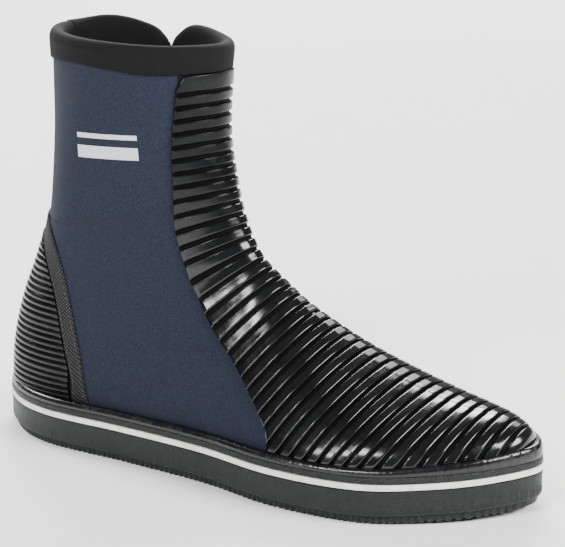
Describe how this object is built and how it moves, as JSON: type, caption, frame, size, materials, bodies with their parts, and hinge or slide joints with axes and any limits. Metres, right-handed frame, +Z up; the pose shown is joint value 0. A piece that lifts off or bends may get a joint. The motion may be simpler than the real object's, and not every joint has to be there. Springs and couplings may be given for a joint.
{
  "type": "neoprene dinghy boot",
  "caption": "Ankle-high neoprene boot for the right foot, with a ribbed rubber vamp and heel, a striped rubber foxing and an inner side zip.",
  "frame": {"origin": "centre of the boot's overall box in plan, on the ground under the outsole", "axes": "+X to the toe, +Y to the inner (medial) side, +Z up"},
  "size_m": [0.3039, 0.1039, 0.214],
  "materials": {
    "black_rubber": "gloss",
    "sole_rubber": "satin",
    "white_rubber": "satin",
    "navy_neoprene": "matte",
    "black_neoprene": "matte",
    "woven_tape": "satin",
    "footbed": "matte",
    "filler_foam": "matte",
    "insole_board": "matte",
    "zip_plastic": "satin"
  },
  "bodies": {
    "boot": {"outsole": "sole_rubber", "midsole_filler": "filler_foam", "foxing_sidewall": "sole_rubber", "foxing_stripe": "white_rubber", "foxing_top_band": "black_rubber", "insole_board": "insole_board", "footbed": "footbed", "heel_foam_panel": "black_neoprene", "lateral_quarter": "navy_neoprene", "front_foam_panel": "black_neoprene", "medial_rear_quarter": "navy_neoprene", "medial_front_quarter": "navy_neoprene", "vamp_rubber": "black_rubber", "heel_counter": "black_rubber", "heel_tape_lateral": "woven_tape", "heel_tape_medial": "woven_tape", "rear_seam_tape": "woven_tape", "collar": "black_neoprene", "zip_gusset": "black_neoprene", "zip_tape_front": "woven_tape", "zip_tape_rear": "woven_tape", "zip_teeth_front": "zip_plastic", "zip_teeth_rear": "zip_plastic", "zip_top_stop_front": "zip_plastic", "zip_top_stop_rear": "zip_plastic", "zip_bottom_stop": "zip_plastic"},
    "slider": {"zip_slider": "zip_plastic"},
    "pull": {"zip_pull": "zip_plastic"}
  },
  "joints": [
    {"name": "zip_slide", "type": "slide", "parent": "boot", "child": "slider", "axis": [-0.0465, -0.0676, -0.9966], "range_m": [0, 0.097]},
    {"name": "pull_hinge", "type": "hinge", "parent": "slider", "child": "pull", "pos_m": [-0.06956, 0.04498, 0.18372], "axis": [0.9989, -0.0031, -0.0463], "range_deg": [0, 160]}
  ]
}
